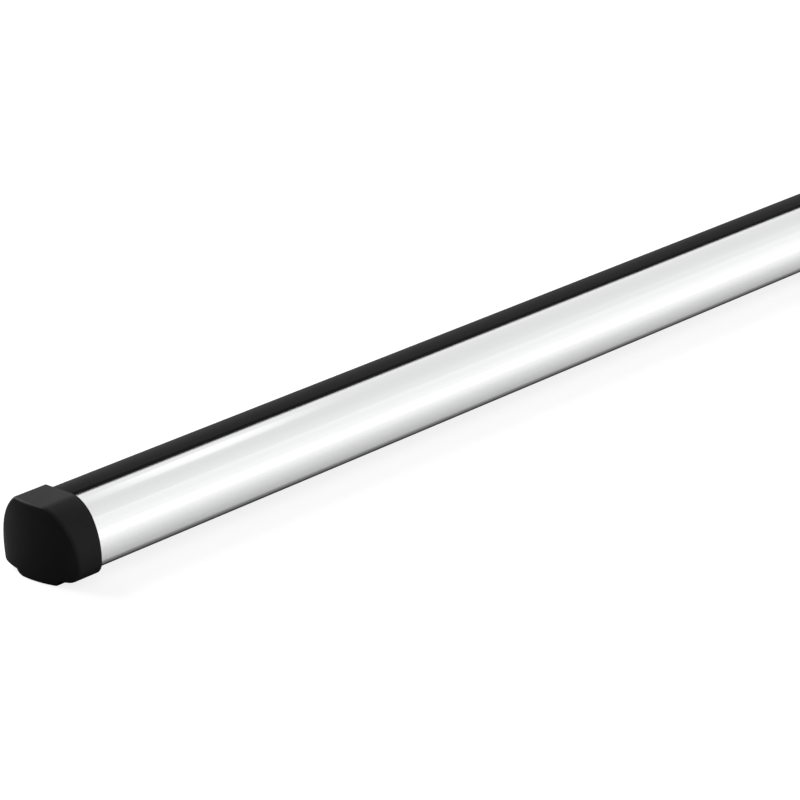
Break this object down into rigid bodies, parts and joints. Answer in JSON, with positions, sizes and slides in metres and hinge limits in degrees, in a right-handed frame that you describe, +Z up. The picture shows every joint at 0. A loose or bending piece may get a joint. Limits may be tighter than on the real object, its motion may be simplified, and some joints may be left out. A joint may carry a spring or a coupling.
{
  "type": "roof rack crossbar",
  "caption": "Hollow aluminium roof rack crossbar with a rubber-covered T-slot along its top, a bolt channel along its underside and moulded black end caps.",
  "frame": {"origin": "on the ground under the middle of the bar, centred across its width", "axes": "+X along the bar, +Y across it towards the side that its top leans to, +Z up"},
  "size_m": [1.35, 0.0484, 0.0389],
  "materials": {
    "anodised_aluminium": "satin, clear anodised",
    "black_rubber": "matte",
    "black_plastic": "satin, fine moulded grain"
  },
  "bodies": {
    "bar": {"bar_profile": "anodised_aluminium", "slot_strip": "black_rubber"},
    "left_cap": {"end_cap_left": "black_plastic"},
    "right_cap": {"end_cap_right": "black_plastic"}
  },
  "joints": [
    {"name": "left_cap_pull", "type": "slide", "parent": "bar", "child": "left_cap", "axis": [-1, 0, 0], "range_m": [0, 0.03]},
    {"name": "right_cap_pull", "type": "slide", "parent": "bar", "child": "right_cap", "axis": [1, 0, 0], "range_m": [0, 0.03]}
  ]
}
